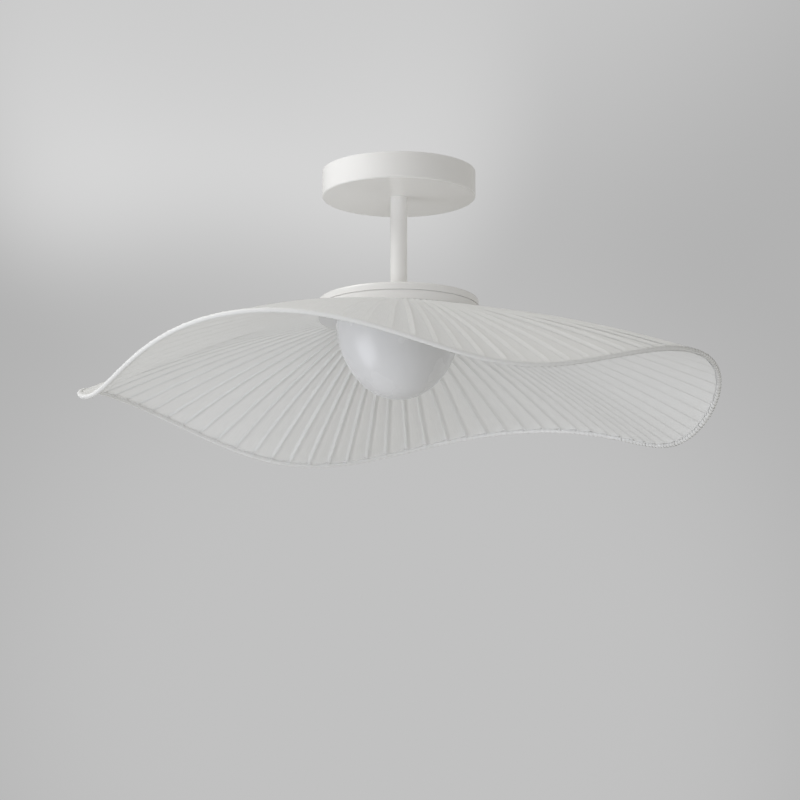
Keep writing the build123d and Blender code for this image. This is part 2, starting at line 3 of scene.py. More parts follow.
import bpy
import numpy as np
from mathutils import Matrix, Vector


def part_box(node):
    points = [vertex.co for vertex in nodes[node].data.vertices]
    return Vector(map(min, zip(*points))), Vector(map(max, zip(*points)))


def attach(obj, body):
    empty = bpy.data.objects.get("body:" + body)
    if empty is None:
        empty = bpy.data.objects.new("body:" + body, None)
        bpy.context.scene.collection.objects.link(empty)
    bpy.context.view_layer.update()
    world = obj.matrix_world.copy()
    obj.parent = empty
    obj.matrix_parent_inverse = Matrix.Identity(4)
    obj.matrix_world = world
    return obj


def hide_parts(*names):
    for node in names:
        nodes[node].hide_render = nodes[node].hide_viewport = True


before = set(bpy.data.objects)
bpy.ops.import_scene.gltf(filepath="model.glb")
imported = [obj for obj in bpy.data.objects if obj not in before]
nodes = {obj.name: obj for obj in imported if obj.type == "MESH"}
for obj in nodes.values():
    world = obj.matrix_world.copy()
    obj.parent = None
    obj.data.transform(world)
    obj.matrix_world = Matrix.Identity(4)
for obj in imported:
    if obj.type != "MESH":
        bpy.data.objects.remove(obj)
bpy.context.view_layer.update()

# The room. The light hangs from a ceiling 2.4 m over a plain pale floor, before a soft grey
# backdrop, with two large soft lamps at its left, one in front and one behind it at the right.
scene = bpy.context.scene
scene.view_settings.view_transform = "Standard"


def colour(hex_value):
    """An sRGB hex value as linear red, green and blue, with an alpha of 1."""
    parts = [int(hex_value[i : i + 2], 16) / 255 for i in (1, 3, 5)]
    linear = [c / 12.92 if c <= 0.04045 else ((c + 0.055) / 1.055) ** 2.4 for c in parts]
    return (*linear, 1.0)


def add_node(tree, kind, settings=None, inputs=None):
    """Adds a node with its own settings, and gives its inputs their values or links."""
    made = tree.nodes.new(kind)
    for name, value in (settings or {}).items():
        setattr(made, name, value)
    for name, value in (inputs or {}).items():
        if isinstance(value, bpy.types.NodeSocket):
            tree.links.new(value, made.inputs[name])
        else:
            made.inputs[name].default_value = value
    return made


camera = bpy.data.objects.new("camera", bpy.data.cameras.new("camera"))
camera.data.lens = 135
camera.data.clip_end = 60
camera.location = (0.0012, -2.757, -0.780)
camera.rotation_euler = (math.radians(90 + 11.45), 0, 0)
scene.collection.objects.link(camera)
scene.camera = camera

world = bpy.data.worlds.new("studio")
world.use_nodes = True
scene.world = world
tree = world.node_tree
tree.nodes.clear()
toward = add_node(tree, "ShaderNodeTexCoord").outputs["Generated"]
backdrop = colour("#B2B2B2")
# each soft patch of the backdrop: its direction and spread in degrees, and its grey
for azimuth, elevation, spread, grey in (
    (-3.2, 17.3, 6.6, "#E7E7E7"),
    (-2.7, 26.0, 15.5, "#CACACA"),
    (-4.1, 8.5, 8.2, "#B2B2B2"),
    (-0.1, 5.9, 11.0, "#C1C1C1"),
):
    a, e = math.radians(azimuth), math.radians(elevation)
    middle = (math.sin(a) * math.cos(e), math.cos(a) * math.cos(e), math.sin(e))
    near = add_node(
        tree, "ShaderNodeVectorMath", {"operation": "DOT_PRODUCT"}, {0: toward, 1: middle}
    )
    amount = add_node(
        tree,
        "ShaderNodeMapRange",
        {"interpolation_type": "SMOOTHERSTEP"},
        {
            "Value": near.outputs["Value"],
            "From Min": math.cos(math.radians(spread)),
            "From Max": 1.0,
        },
    )
    backdrop = add_node(
        tree,
        "ShaderNodeMix",
        {"data_type": "RGBA"},
        {"Factor": amount.outputs["Result"], 6: backdrop, 7: colour(grey)},
    ).outputs[2]
ray = add_node(tree, "ShaderNodeLightPath").outputs
mirrored = add_node(
    tree,
    "ShaderNodeMath",
    {"operation": "MAXIMUM"},
    {0: ray["Is Glossy Ray"], 1: ray["Is Transmission Ray"]},
)
seen = add_node(
    tree,
    "ShaderNodeMath",
    {"operation": "MAXIMUM"},
    {0: ray["Is Camera Ray"], 1: mirrored.outputs[0]},
)
even_light = add_node(
    tree, "ShaderNodeBackground", inputs={"Color": colour("#FFFCF3"), "Strength": 0.35}
)
shown_grey = add_node(tree, "ShaderNodeBackground", inputs={"Color": backdrop, "Strength": 1.0})
both = add_node(
    tree,
    "ShaderNodeMixShader",
    inputs={0: seen.outputs[0], 1: even_light.outputs[0], 2: shown_grey.outputs[0]},
)
add_node(tree, "ShaderNodeOutputWorld", inputs={"Surface": both.outputs[0]})

# each lamp: its place, width and height in metres, its power in watts and its colour
hanging = Vector((0, 0, -0.13))
for name, place, width, height, power, tint in (
    ("high_left_softbox", (-1.8, -0.5, 1.5), 1.6, 1.6, 34, "#FDFEFF"),
    ("low_left_softbox", (-2.1, -0.5, -1.3), 1.6, 1.4, 22, "#F4F7FF"),
    ("front_softbox", (0.3, -3.2, -0.7), 1.6, 1.2, 24, "#F3F6FF"),
    ("back_softbox", (1.7, 2.0, -0.4), 1.6, 1.6, 18, "#FFFFFE"),
):
    lamp = bpy.data.objects.new(name, bpy.data.lights.new(name, "AREA"))
    lamp.data.shape = "RECTANGLE"
    lamp.data.size = width
    lamp.data.size_y = height
    lamp.data.energy = power
    lamp.data.color = colour(tint)[:3]
    lamp.location = place
    lamp.rotation_euler = (hanging - Vector(place)).to_track_quat("-Z", "Y").to_euler()
    lamp.visible_camera = False
    # the one behind only lifts the shadows, without a highlight on the dome's edge
    lamp.visible_glossy = name != "back_softbox"
    scene.collection.objects.link(lamp)


def new_material(name):
    """An empty material by that name, and its node tree."""
    material = bpy.data.materials.new(name)
    material.use_nodes = True
    material.node_tree.nodes.clear()
    return material, material.node_tree


# pale matt floor paint: even, with a faint cloudiness, fading into the backdrop far off
floor_level = -2.4
floor_paint, tree = new_material("pale_floor_paint")
spot = add_node(tree, "ShaderNodeNewGeometry").outputs["Position"]
clouds = add_node(tree, "ShaderNodeTexNoise", inputs={"Vector": spot, "Scale": 1.5, "Detail": 3.0})
paint = add_node(
    tree,
    "ShaderNodeMix",
    {"data_type": "RGBA"},
    {"Factor": clouds.outputs["Fac"], 6: colour("#E4E4E3"), 7: colour("#EAEAE9")},
)
matt = add_node(tree, "ShaderNodeBsdfDiffuse", inputs={"Color": paint.outputs[2]})
clear = add_node(tree, "ShaderNodeBsdfTransparent")
far = add_node(
    tree, "ShaderNodeVectorMath", {"operation": "DISTANCE"}, {0: spot, 1: (0, 0, floor_level)}
)
fade = add_node(
    tree,
    "ShaderNodeMapRange",
    {"interpolation_type": "SMOOTHERSTEP"},
    {"Value": far.outputs["Value"], "From Min": 2.0, "From Max": 13.0},
)
faded = add_node(
    tree,
    "ShaderNodeMixShader",
    inputs={0: fade.outputs["Result"], 1: matt.outputs[0], 2: clear.outputs[0]},
)
add_node(tree, "ShaderNodeOutputMaterial", inputs={"Surface": faded.outputs[0]})
floor_mesh = bpy.data.meshes.new("floor")
floor_radius, floor_sides = 14, 120
floor_turns = [2 * math.pi * n / floor_sides for n in range(floor_sides)]
floor_rim = [
    (floor_radius * math.cos(turn), floor_radius * math.sin(turn), floor_level)
    for turn in floor_turns
]
floor_mesh.from_pydata(floor_rim, [], [tuple(range(floor_sides))])
floor_mesh.materials.append(floor_paint)
floor = bpy.data.objects.new("floor", floor_mesh)
scene.collection.objects.link(floor)


# Canopy, rod, pan lid, pan body and clamp plate. Deep-drawn and spun sheet steel and a steel tube,
# powder coated in one warm white before they are put together; the plate is drawn greyer, as
# painted shade.
def finish(material, *names):
    """Gives carried-over pieces a material."""
    for name in names:
        for place in nodes[name].material_slots:
            place.material = material


def powder_coat(name, dark, light):
    """Baked satin polyester, with a faint orange peel and a soft reflection."""
    material, tree = new_material(name)
    spot = add_node(tree, "ShaderNodeTexCoord").outputs["Object"]
    peel_width = 0.0014  # one swelling of the orange peel
    peel = add_node(
        tree, "ShaderNodeTexNoise", inputs={"Vector": spot, "Scale": 1 / peel_width, "Detail": 2.0}
    )
    film = add_node(
        tree, "ShaderNodeTexNoise", inputs={"Vector": spot, "Scale": 22.0, "Detail": 3.0}
    )
    tone = add_node(
        tree,
        "ShaderNodeMix",
        {"data_type": "RGBA"},
        {"Factor": film.outputs["Fac"], 6: colour(dark), 7: colour(light)},
    )
    gloss = add_node(
        tree,
        "ShaderNodeMapRange",
        inputs={"Value": film.outputs["Fac"], "To Min": 0.15, "To Max": 0.21},
    )
    relief = add_node(
        tree,
        "ShaderNodeBump",
        inputs={"Height": peel.outputs["Fac"], "Strength": 0.12, "Distance": 0.0001},
    )
    coat = add_node(
        tree,
        "ShaderNodeBsdfPrincipled",
        inputs={
            "Base Color": tone.outputs[2],
            "Roughness": gloss.outputs["Result"],
            "IOR": 1.5,
            "Normal": relief.outputs["Normal"],
        },
    )
    add_node(tree, "ShaderNodeOutputMaterial", inputs={"Surface": coat.outputs[0]})
    return material


# satin polyester powder coat: an even warm white with a soft, slightly uneven reflection
warm_white = powder_coat("satin_powder_coat", "#EDECEA", "#F1F0EE")
finish(warm_white, "canopy_cup", "rod_tube", "pan_lid", "pan_body")
# the plate under the shade gets a greyer copy of the same coat: painted shade, for the shade's
# shadow on it
finish(powder_coat("powder_coat_painted_shade", "#D2D2D2", "#D8D8D8"), "clamp_plate")


# Ceiling bracket and fasteners. Pressed strip, turned nuts and rolled screws of mild steel, zinc
# plated and clear passivated.
def plated_steel(name, light, dark, rough, thread_pitch=None):
    """Zinc on steel: a cool metal with faint cloudy patches. A thread pitch adds turned grooves."""
    material, tree = new_material(name)
    spot = add_node(tree, "ShaderNodeTexCoord").outputs["Object"]
    patches = add_node(
        tree, "ShaderNodeTexNoise", inputs={"Vector": spot, "Scale": 160.0, "Detail": 4.0}
    )
    grain = add_node(
        tree, "ShaderNodeTexNoise", inputs={"Vector": spot, "Scale": 2200.0, "Detail": 2.0}
    )
    tone = add_node(
        tree,
        "ShaderNodeMix",
        {"data_type": "RGBA"},
        {"Factor": patches.outputs["Fac"], 6: colour(dark), 7: colour(light)},
    )
    gloss = add_node(
        tree,
        "ShaderNodeMapRange",
        inputs={"Value": patches.outputs["Fac"], "To Min": rough - 0.06, "To Max": rough + 0.08},
    )
    relief = add_node(
        tree,
        "ShaderNodeBump",
        inputs={"Height": grain.outputs["Fac"], "Strength": 0.15, "Distance": 0.00005},
    )
    if thread_pitch:
        turns = add_node(
            tree,
            "ShaderNodeTexWave",
            {"wave_type": "BANDS", "bands_direction": "Z", "wave_profile": "TRI"},
            {"Vector": spot, "Scale": math.pi / 10 / thread_pitch},
        )
        relief = add_node(
            tree,
            "ShaderNodeBump",
            inputs={
                "Height": turns.outputs["Fac"],
                "Distance": thread_pitch / 2,
                "Normal": relief.outputs["Normal"],
            },
        )
    metal = add_node(
        tree,
        "ShaderNodeBsdfPrincipled",
        inputs={
            "Base Color": tone.outputs[2],
            "Metallic": 1.0,
            "Roughness": gloss.outputs["Result"],
            "Normal": relief.outputs["Normal"],
        },
    )
    add_node(tree, "ShaderNodeOutputMaterial", inputs={"Surface": metal.outputs[0]})
    return material


# bright zinc: pale grey, a little cloudy
zinc = plated_steel("zinc_plated_steel", "#D3D6D6", "#BCC0C3", 0.32)
finish(zinc, "ceiling_bracket", "earth_washer", "rod_plugs", "nipple_nuts", "nipple_washers")
finish(zinc, "standoffs", "canopy_screws", "earth_screw", "plate_screws", "board_screws")
finish(zinc, "spring_screws", "earth_lug")
# the hollow nipples carry a rolled thread of 1 mm pitch
finish(plated_steel("rolled_zinc_thread", "#D0D3D3", "#B4B8BB", 0.35, 0.001), "nipples")
# the flat inner ring and the rim wire are drawn steel, galvanised dull
galvanised = plated_steel("galvanised_wire", "#C9CCCC", "#AEB2B4", 0.45)
finish(galvanised, "shade_inner_ring", "shade_rim_wire")
# the dome's leaf springs are blue-grey tempered strip, smoother than the plated parts
finish(plated_steel("tempered_spring_strip", "#B4B5B6", "#97999C", 0.24), "dome_springs")
# the terminal screws are turned brass with a machined shine
finish(plated_steel("turned_brass", "#E0C27A", "#CDAA5E", 0.26), "terminal_screws")


# Driver, terminal block, bushes and connector. Injection moulded plastics that stand or clip in
# the canopy and on the lamp board.
def moulded_plastic(name, light, dark, rough, grain_width):
    """A moulded plastic with an eroded grain, which scatters the shine."""
    material, tree = new_material(name)
    spot = add_node(tree, "ShaderNodeTexCoord").outputs["Object"]
    grain = add_node(
        tree, "ShaderNodeTexNoise", inputs={"Vector": spot, "Scale": 1 / grain_width, "Detail": 4.0}
    )
    flow = add_node(tree, "ShaderNodeTexNoise", inputs={"Vector": spot, "Scale": 60.0})
    tone = add_node(
        tree,
        "ShaderNodeMix",
        {"data_type": "RGBA"},
        {"Factor": flow.outputs["Fac"], 6: colour(dark), 7: colour(light)},
    )
    gloss = add_node(
        tree,
        "ShaderNodeMapRange",
        inputs={"Value": grain.outputs["Fac"], "To Min": rough - 0.08, "To Max": rough + 0.08},
    )
    relief = add_node(
        tree,
        "ShaderNodeBump",
        inputs={"Height": grain.outputs["Fac"], "Strength": 0.3, "Distance": 0.0001},
    )
    plastic = add_node(
        tree,
        "ShaderNodeBsdfPrincipled",
        inputs={
            "Base Color": tone.outputs[2],
            "Roughness": gloss.outputs["Result"],
            "IOR": 1.5,
            "Normal": relief.outputs["Normal"],
        },
    )
    add_node(tree, "ShaderNodeOutputMaterial", inputs={"Surface": plastic.outputs[0]})
    return material


# the case and the block are moulded in plain white with a fine eroded grain, so they look matt
finish(moulded_plastic("polycarbonate_case", "#E9E9E7", "#E1E1DF", 0.5, 0.0007), "led_driver")
finish(moulded_plastic("polypropylene_block", "#F0EEE7", "#E6E3DA", 0.42, 0.0005), "terminal_block")
# nylon is milky and a little yellow beside the white case and block
nylon = moulded_plastic("natural_nylon", "#ECE8DD", "#E2DDD0", 0.48, 0.0004)
finish(nylon, "nipple_bushes", "board_connector")

# Output leads. Two strands of tinned copper in silicone rubber, red and black, from the driver
# down through the rod to the connector on the lamp board.
# silicone rubber: extruded, satin, slightly dusty
silicone, tree = new_material("silicone_rubber_insulation")
spot = add_node(tree, "ShaderNodeTexCoord").outputs["Object"]
across = add_node(tree, "ShaderNodeSeparateXYZ", inputs={"Vector": spot})
dust = add_node(tree, "ShaderNodeTexNoise", inputs={"Vector": spot, "Scale": 700.0, "Detail": 3.0})
which = add_node(
    tree, "ShaderNodeMath", {"operation": "GREATER_THAN"}, {0: across.outputs["X"], 1: 0.0}
)
tone = add_node(
    tree,
    "ShaderNodeMix",
    {"data_type": "RGBA"},
    {"Factor": which.outputs[0], 6: colour("#B5231C"), 7: colour("#1E1E20")},
)
gloss = add_node(
    tree, "ShaderNodeMapRange", inputs={"Value": dust.outputs["Fac"], "To Min": 0.38, "To Max": 0.6}
)
rubber = add_node(
    tree,
    "ShaderNodeBsdfPrincipled",
    inputs={"Base Color": tone.outputs[2], "Roughness": gloss.outputs["Result"], "IOR": 1.41},
)
add_node(tree, "ShaderNodeOutputMaterial", inputs={"Surface": rubber.outputs[0]})
finish(silicone, "output_leads")

# Mains leads. Two strands of copper in soft plastic from the terminal block to the driver, brown
# and blue, and the green and yellow earth lead from the block to the lug on the bracket.
stripe_width = 0.0035  # of each colour of the earth lead, along it
lead_gloss = 0.42


def insulated_lead(name, first, second, second_share):
    """Soft plastic insulation in two colours. The last argument makes the share of the second."""
    material, tree = new_material(name)
    spot = add_node(tree, "ShaderNodeTexCoord").outputs["Object"]
    bloom = add_node(
        tree, "ShaderNodeTexNoise", inputs={"Vector": spot, "Scale": 500.0, "Detail": 3.0}
    )
    tone = add_node(
        tree,
        "ShaderNodeMix",
        {"data_type": "RGBA"},
        {"Factor": second_share(tree, spot), 6: colour(first), 7: colour(second)},
    )
    gloss = add_node(
        tree,
        "ShaderNodeMapRange",
        inputs={
            "Value": bloom.outputs["Fac"],
            "To Min": lead_gloss - 0.08,
            "To Max": lead_gloss + 0.08,
        },
    )
    sleeve = add_node(
        tree,
        "ShaderNodeBsdfPrincipled",
        inputs={"Base Color": tone.outputs[2], "Roughness": gloss.outputs["Result"], "IOR": 1.53},
    )
    add_node(tree, "ShaderNodeOutputMaterial", inputs={"Surface": sleeve.outputs[0]})
    return material


def blue_side(tree, spot):
    """1 where the blue lead runs: it is the outer of the two, except before the driver's end."""
    split = add_node(tree, "ShaderNodeSeparateXYZ", inputs={"Vector": spot}).outputs
    beside, behind, right, before = [
        add_node(tree, "ShaderNodeMath", {"operation": side}, {0: split[axis], 1: limit}).outputs[0]
        for side, axis, limit in (
            ("GREATER_THAN", "X", 0.0385),
            ("GREATER_THAN", "Y", 0.0315),
            ("GREATER_THAN", "X", 0.005),
            ("LESS_THAN", "Y", -0.018),
        )
    ]
    corner = add_node(tree, "ShaderNodeMath", {"operation": "MULTIPLY"}, {0: right, 1: before})
    either = add_node(tree, "ShaderNodeMath", {"operation": "MAXIMUM"}, {0: beside, 1: behind})
    return add_node(
        tree,
        "ShaderNodeMath",
        {"operation": "MAXIMUM"},
        {0: either.outputs[0], 1: corner.outputs[0]},
    ).outputs[0]


def earth_stripe(tree, spot):
    """1 on the yellow stripes of the green lead."""
    stripes = add_node(
        tree,
        "ShaderNodeTexWave",
        {"wave_type": "BANDS", "bands_direction": "DIAGONAL"},
        {"Vector": spot, "Scale": math.pi / 10 / stripe_width},
    )
    return add_node(
        tree, "ShaderNodeMath", {"operation": "GREATER_THAN"}, {0: stripes.outputs["Fac"], 1: 0.5}
    ).outputs[0]


# soft plastic insulation: extruded and smooth, with a dull bloom
mains_pair = insulated_lead("brown_and_blue_insulation", "#6B4226", "#2B5FA8", blue_side)
finish(mains_pair, "input_leads")
striped = insulated_lead("striped_earth_insulation", "#3F8F3A", "#E6CF3B", earth_stripe)
finish(striped, "earth_lead")

# Foam pads. Two die-cut pads of closed-cell foam with adhesive on both sides, which hold the
# driver and the terminal block on the canopy's floor and bulge a little at their edges.
pad_bulge = 0.0006
pad_corner = 0.002
corner_steps = 4
pads_mesh = bpy.data.meshes.new("foam_pads_soft")
pad_low, pad_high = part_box("foam_pads")[0].z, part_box("foam_pads")[1].z
pad_points, pad_faces = [], []
# each pad: its middle along Y, its length along X and its width
for middle_y, length, width in ((0.032, 0.056, 0.026), (-0.034, 0.031, 0.015)):
    rings = []
    for share in (0.0, 0.25, 0.5, 0.75, 1.0):
        swell = pad_bulge * math.sin(math.pi * share) - pad_bulge / 2
        height = pad_low + (pad_high - pad_low) * share
        round_corner = pad_corner + swell
        ring = []
        for quarter, (side_x, side_y) in enumerate(((1, 1), (-1, 1), (-1, -1), (1, -1))):
            for step in range(corner_steps + 1):
                turn = math.pi / 2 * (quarter + step / corner_steps)
                x = side_x * (length / 2 - pad_corner) + round_corner * math.cos(turn)
                y = side_y * (width / 2 - pad_corner) + round_corner * math.sin(turn)
                ring.append(len(pad_points))
                pad_points.append((x, middle_y + y, height))
        rings.append(ring)
    for lower, upper in zip(rings, rings[1:]):
        for n in range(len(lower)):
            m = (n + 1) % len(lower)
            pad_faces.append((lower[n], lower[m], upper[m], upper[n]))
    pad_faces.append(tuple(reversed(rings[0])))
    pad_faces.append(tuple(rings[-1]))
pads_mesh.from_pydata(pad_points, [], pad_faces)
pads_mesh.update()
# closed-cell polyethylene foam: dark and matt, pitted where its cells are cut open
cell_width = 0.0006
foam, tree = new_material("closed_cell_foam")
spot = add_node(tree, "ShaderNodeTexCoord").outputs["Object"]
cells = add_node(tree, "ShaderNodeTexVoronoi", inputs={"Vector": spot, "Scale": 1 / cell_width})
tone = add_node(
    tree,
    "ShaderNodeMix",
    {"data_type": "RGBA"},
    {"Factor": cells.outputs["Distance"], 6: colour("#2C2D2F"), 7: colour("#4A4B4E")},
)
relief = add_node(
    tree,
    "ShaderNodeBump",
    inputs={"Height": cells.outputs["Distance"], "Strength": 0.6, "Distance": 0.0002},
)
cut = add_node(
    tree,
    "ShaderNodeBsdfPrincipled",
    inputs={"Base Color": tone.outputs[2], "Roughness": 0.9, "Normal": relief.outputs["Normal"]},
)
add_node(tree, "ShaderNodeOutputMaterial", inputs={"Surface": cut.outputs[0]})
pads_mesh.materials.append(foam)
pads = bpy.data.objects.new("foam_pads_soft", pads_mesh)
scene.collection.objects.link(pads)
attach(pads, "fixture")
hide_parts("foam_pads")

# Lamp board. An aluminium disc under white enamel, with two rings of soldered chips whose
# yellow phosphor gives the warm light when it is on.
# baked solder enamel: smooth and bright, with the tracks showing as faint raised bands
enamel, tree = new_material("white_board_enamel")
spot = add_node(tree, "ShaderNodeTexCoord").outputs["Object"]
tracks = add_node(
    tree,
    "ShaderNodeTexWave",
    {"wave_type": "RINGS", "rings_direction": "Z"},
    {"Vector": spot, "Scale": 60.0, "Distortion": 0.4},
)
tone = add_node(
    tree,
    "ShaderNodeMix",
    {"data_type": "RGBA"},
    {"Factor": tracks.outputs["Fac"], 6: colour("#EEF0EE"), 7: colour("#F5F6F4")},
)
relief = add_node(
    tree,
    "ShaderNodeBump",
    inputs={"Height": tracks.outputs["Fac"], "Strength": 0.4, "Distance": 0.00007},
)
mask = add_node(
    tree,
    "ShaderNodeBsdfPrincipled",
    inputs={
        "Base Color": tone.outputs[2],
        "Roughness": 0.33,
        "IOR": 1.52,
        "Normal": relief.outputs["Normal"],
    },
)
add_node(tree, "ShaderNodeOutputMaterial", inputs={"Surface": mask.outputs[0]})
finish(enamel, "led_board")
# phosphor in clear silicone: grainy and matt
phosphor, tree = new_material("chip_phosphor_gel")
spot = add_node(tree, "ShaderNodeTexCoord").outputs["Object"]
grains = add_node(
    tree, "ShaderNodeTexNoise", inputs={"Vector": spot, "Scale": 3000.0, "Detail": 3.0}
)
tone = add_node(
    tree,
    "ShaderNodeMix",
    {"data_type": "RGBA"},
    {"Factor": grains.outputs["Fac"], 6: colour("#E9CB45"), 7: colour("#F5E07A")},
)
gel = add_node(
    tree,
    "ShaderNodeBsdfPrincipled",
    inputs={"Base Color": tone.outputs[2], "Roughness": 0.5, "IOR": 1.41},
)
add_node(tree, "ShaderNodeOutputMaterial", inputs={"Surface": gel.outputs[0]})
finish(phosphor, "led_chips")

# Dome. Blown from opal acrylic sheet, satin outside, with a lip that snaps over three springs.
# opal acrylic: milky right through, so light spreads in it and its edges stay soft
opal, tree = new_material("opal_acrylic")
spot = add_node(tree, "ShaderNodeTexCoord").outputs["Object"]
haze = add_node(tree, "ShaderNodeTexNoise", inputs={"Vector": spot, "Scale": 35.0, "Detail": 2.0})
frost = add_node(
    tree, "ShaderNodeTexNoise", inputs={"Vector": spot, "Scale": 1800.0, "Detail": 2.0}
)
tone = add_node(
    tree,
    "ShaderNodeMix",
    {"data_type": "RGBA"},
    {"Factor": haze.outputs["Fac"], 6: colour("#DEDFE1"), 7: colour("#E4E4E5")},
)
gloss = add_node(
    tree,
    "ShaderNodeMapRange",
    inputs={"Value": haze.outputs["Fac"], "To Min": 0.24, "To Max": 0.30},
)
relief = add_node(
    tree,
    "ShaderNodeBump",
    inputs={"Height": frost.outputs["Fac"], "Strength": 0.06, "Distance": 0.00005},
)
milky = add_node(
    tree,
    "ShaderNodeBsdfPrincipled",
    inputs={
        "Base Color": tone.outputs[2],
        "Roughness": gloss.outputs["Result"],
        "IOR": 1.49,
        "Subsurface Weight": 0.35,
        "Subsurface Radius": (0.004, 0.004, 0.004),
        "Subsurface Scale": 1.0,
        "Normal": relief.outputs["Normal"],
    },
)
add_node(tree, "ShaderNodeOutputMaterial", inputs={"Surface": milky.outputs[0]})
finish(opal, "dome")

# Shade cloth. A polyester and cotton cloth set into 90 knife pleats that fan out from the pan.
# Each pleat is a straight strip of one length, so where the rim dips the shade is narrower.
# The folds are pressed to one side, three layers deep under each crest.
pleats = 90
waves = 4
pan_radius = 0.0755
ring_reach = 0.0700  # radius to which the hem runs in, over the inner ring
cloth_level = -0.1419  # middle of the cloth where the plate clamps it
rim_drop = 0.0767
wave_height = 0.020  # of the rim above and below its middle
wave_sharpness = 0.001  # by which its dips are narrower than its crests
wave_start = math.radians(20.3)
out_of_level = 0.0065  # by which the rim is raised on one side
raised_side = math.radians(150)
pleat_length = 0.2355
crown = 0.0055  # how far the cloth arches over a straight line to the rim
tuck = 0.0030  # how far a fold goes under the next panel
clamp_fold = 0.0004  # height of the folds where they are clamped
inner_fold = 0.0015  # a little further out
outer_fold = 0.0027  # how much height there is near the rim, where the pleats have opened
opened_share = 0.7  # of the way to the rim at which they have
rim_fold = 0.3  # what is left of that height at the rim
rise_length = 0.012  # in which the folds open from the clamp and close again at the rim
swing = 0.022  # radians by which the folds turn in that length as they leave the clamp
edge_setback = 0.0018  # from the cloth's edge to the middle of the rim wire


def rim_height(angle):
    """The rim wire's height: four waves, slightly out of level."""
    turn = waves * (angle - wave_start)
    wave = -wave_height * np.cos(turn) - wave_sharpness * np.cos(2 * turn)
    return cloth_level - rim_drop + wave + out_of_level * np.cos(angle - raised_side)


def rim_radius(angle):
    """The rim wire's radius: where the rim rises, the same strip reaches further out."""
    return pan_radius + np.sqrt(pleat_length**2 - (rim_height(angle) - cloth_level) ** 2)


def on_pleat(angle, share):
    """Radius and height of the cloth, share 0 at the pan's edge and 1 at the rim wire."""
    radius = pan_radius + (rim_radius(angle) - pan_radius) * share
    arch = 4 * crown * share * (1 - share)
    return radius, cloth_level + (rim_height(angle) - cloth_level) * share + arch


def grid_mesh(name, points, threads, closed):
    """Four-sided faces through rows of points, with threads as the map of the weave in metres."""
    rows, columns = points.shape[:2]
    ids = np.arange(rows * columns).reshape(rows, columns)
    if closed:
        ids = np.hstack([ids, ids[:, :1]])
    steps = ((0, 0), (1, 0), (1, 1), (0, 1))
    bottom, right = ids.shape[0] - 1, ids.shape[1] - 1
    quads = np.stack([ids[j : j + bottom, i : i + right] for j, i in steps], axis=-1)
    corners = np.stack([threads[j : j + bottom, i : i + right] for j, i in steps], axis=-2)
    mesh = bpy.data.meshes.new(name)
    mesh.from_pydata(points.reshape(-1, 3).tolist(), [], quads.reshape(-1, 4).tolist())
    mesh.uv_layers.new(name="threads").data.foreach_set("uv", corners.astype(np.float32).ravel())
    mesh.shade_smooth()
    return mesh


def pleat_form(angle):
    """How far a pleat stands up and the width of its crest: full at the back, pressed flat at the
    near left, with broad crests where the cloth is pulled over them."""
    turn = np.degrees(angle) % 360
    # by degrees around the shade: the share of the full height, and the width in millimetres
    turns = (0, 15, 35, 105, 125, 150, 185, 250, 268, 325, 345, 360)
    shares = (0.45, 0.5, 1.8, 1.8, 1.0, 0.5, 0.12, 0.12, 1.0, 1.0, 0.45, 0.45)
    widths = (2.8, 2.8, 5.2, 5.2, 2.8, 2.8, 2.8, 2.8, 4.6, 4.6, 2.8, 2.8)
    return np.interp(turn, turns, shares), np.interp(turn, turns, widths) / 1000


# each pleat's own small errors: its lean in radians, its fullness and the start of its sway
lean_error, fullness_error, sway_width, sway_turns = 0.0011, 0.10, 0.0004, 5
draw = np.random.default_rng(7)
lean = draw.normal(0, lean_error, pleats)
fullness = 1 + draw.normal(0, fullness_error, pleats)
wander = draw.uniform(0, 2 * math.pi, pleats)
# places along a pleat, as shares of its length: close together at the clamp and at the rim
near_clamp = np.array([0, 0.002, 0.004, 0.0065, 0.0095, 0.013]) / pleat_length
edge_share = 1 - edge_setback / pleat_length
stations = np.concatenate([near_clamp, np.linspace(0.085, 0.94, 30), [0.962, 0.98, edge_share]])
distance = stations * pleat_length
pleat_turn = 2 * math.pi / pleats
pleat_angle = np.arange(pleats)[:, None] * pleat_turn
stand, nose_width = pleat_form(pleat_angle)
radius = on_pleat(pleat_angle, stations)[0]
rise = np.clip(distance / rise_length, 0, 1)
close = np.clip(rim_fold + (1 - stations) * pleat_length / rise_length, 0, 1)
open_out = np.clip(stations / opened_share, 0, 1)
fold = clamp_fold + (inner_fold - clamp_fold) * rise + (outer_fold - inner_fold) * open_out
fold = fold * close * fullness[:, None] * stand
sway = sway_width * np.sin(wander[:, None] + sway_turns * stations) * rise / radius
crest = pleat_angle + lean[:, None] * stations + sway + swing * np.exp(-distance / rise_length)
half_nose = np.minimum(nose_width / radius, 0.5 * pleat_turn)
under = tuck * np.minimum(stand, 1) / radius
next_fold, next_crest, next_under = [np.roll(line, -1, axis=0) for line in (fold, crest, under)]
next_crest[-1] += 2 * math.pi
